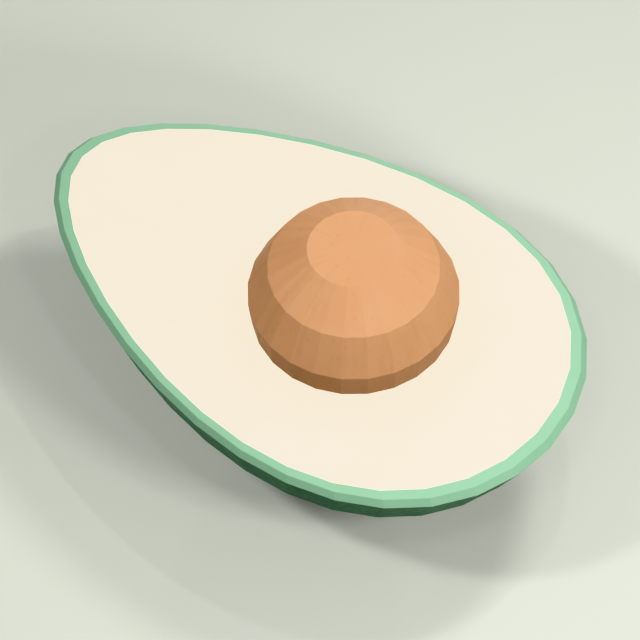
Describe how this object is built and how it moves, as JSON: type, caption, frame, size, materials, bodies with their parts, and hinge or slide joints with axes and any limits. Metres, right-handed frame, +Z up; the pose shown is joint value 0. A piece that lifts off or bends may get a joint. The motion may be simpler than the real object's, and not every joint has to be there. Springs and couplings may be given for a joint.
{
  "type": "avocado half",
  "caption": "Avocado cut lengthwise, lying on its round back: dark green skin, pale flesh with a green rim round a flat cut face, and a brown stone seated in its socket.",
  "frame": {"origin": "on the ground, under the middle of the fruit's bounding box", "axes": "+X along the fruit towards its wide end, +Y across it, +Z up, square to the cut face"},
  "size_m": [0.11, 0.0716, 0.0534],
  "materials": {
    "skin": "matte, dark green peel, faintly pebbled",
    "flesh": "smooth matte cream, pale green towards the skin",
    "stone": "matte brown seed coat"
  },
  "bodies": {
    "root": {"skin": "skin", "flesh": "flesh", "stone": "stone"}
  },
  "joints": []
}
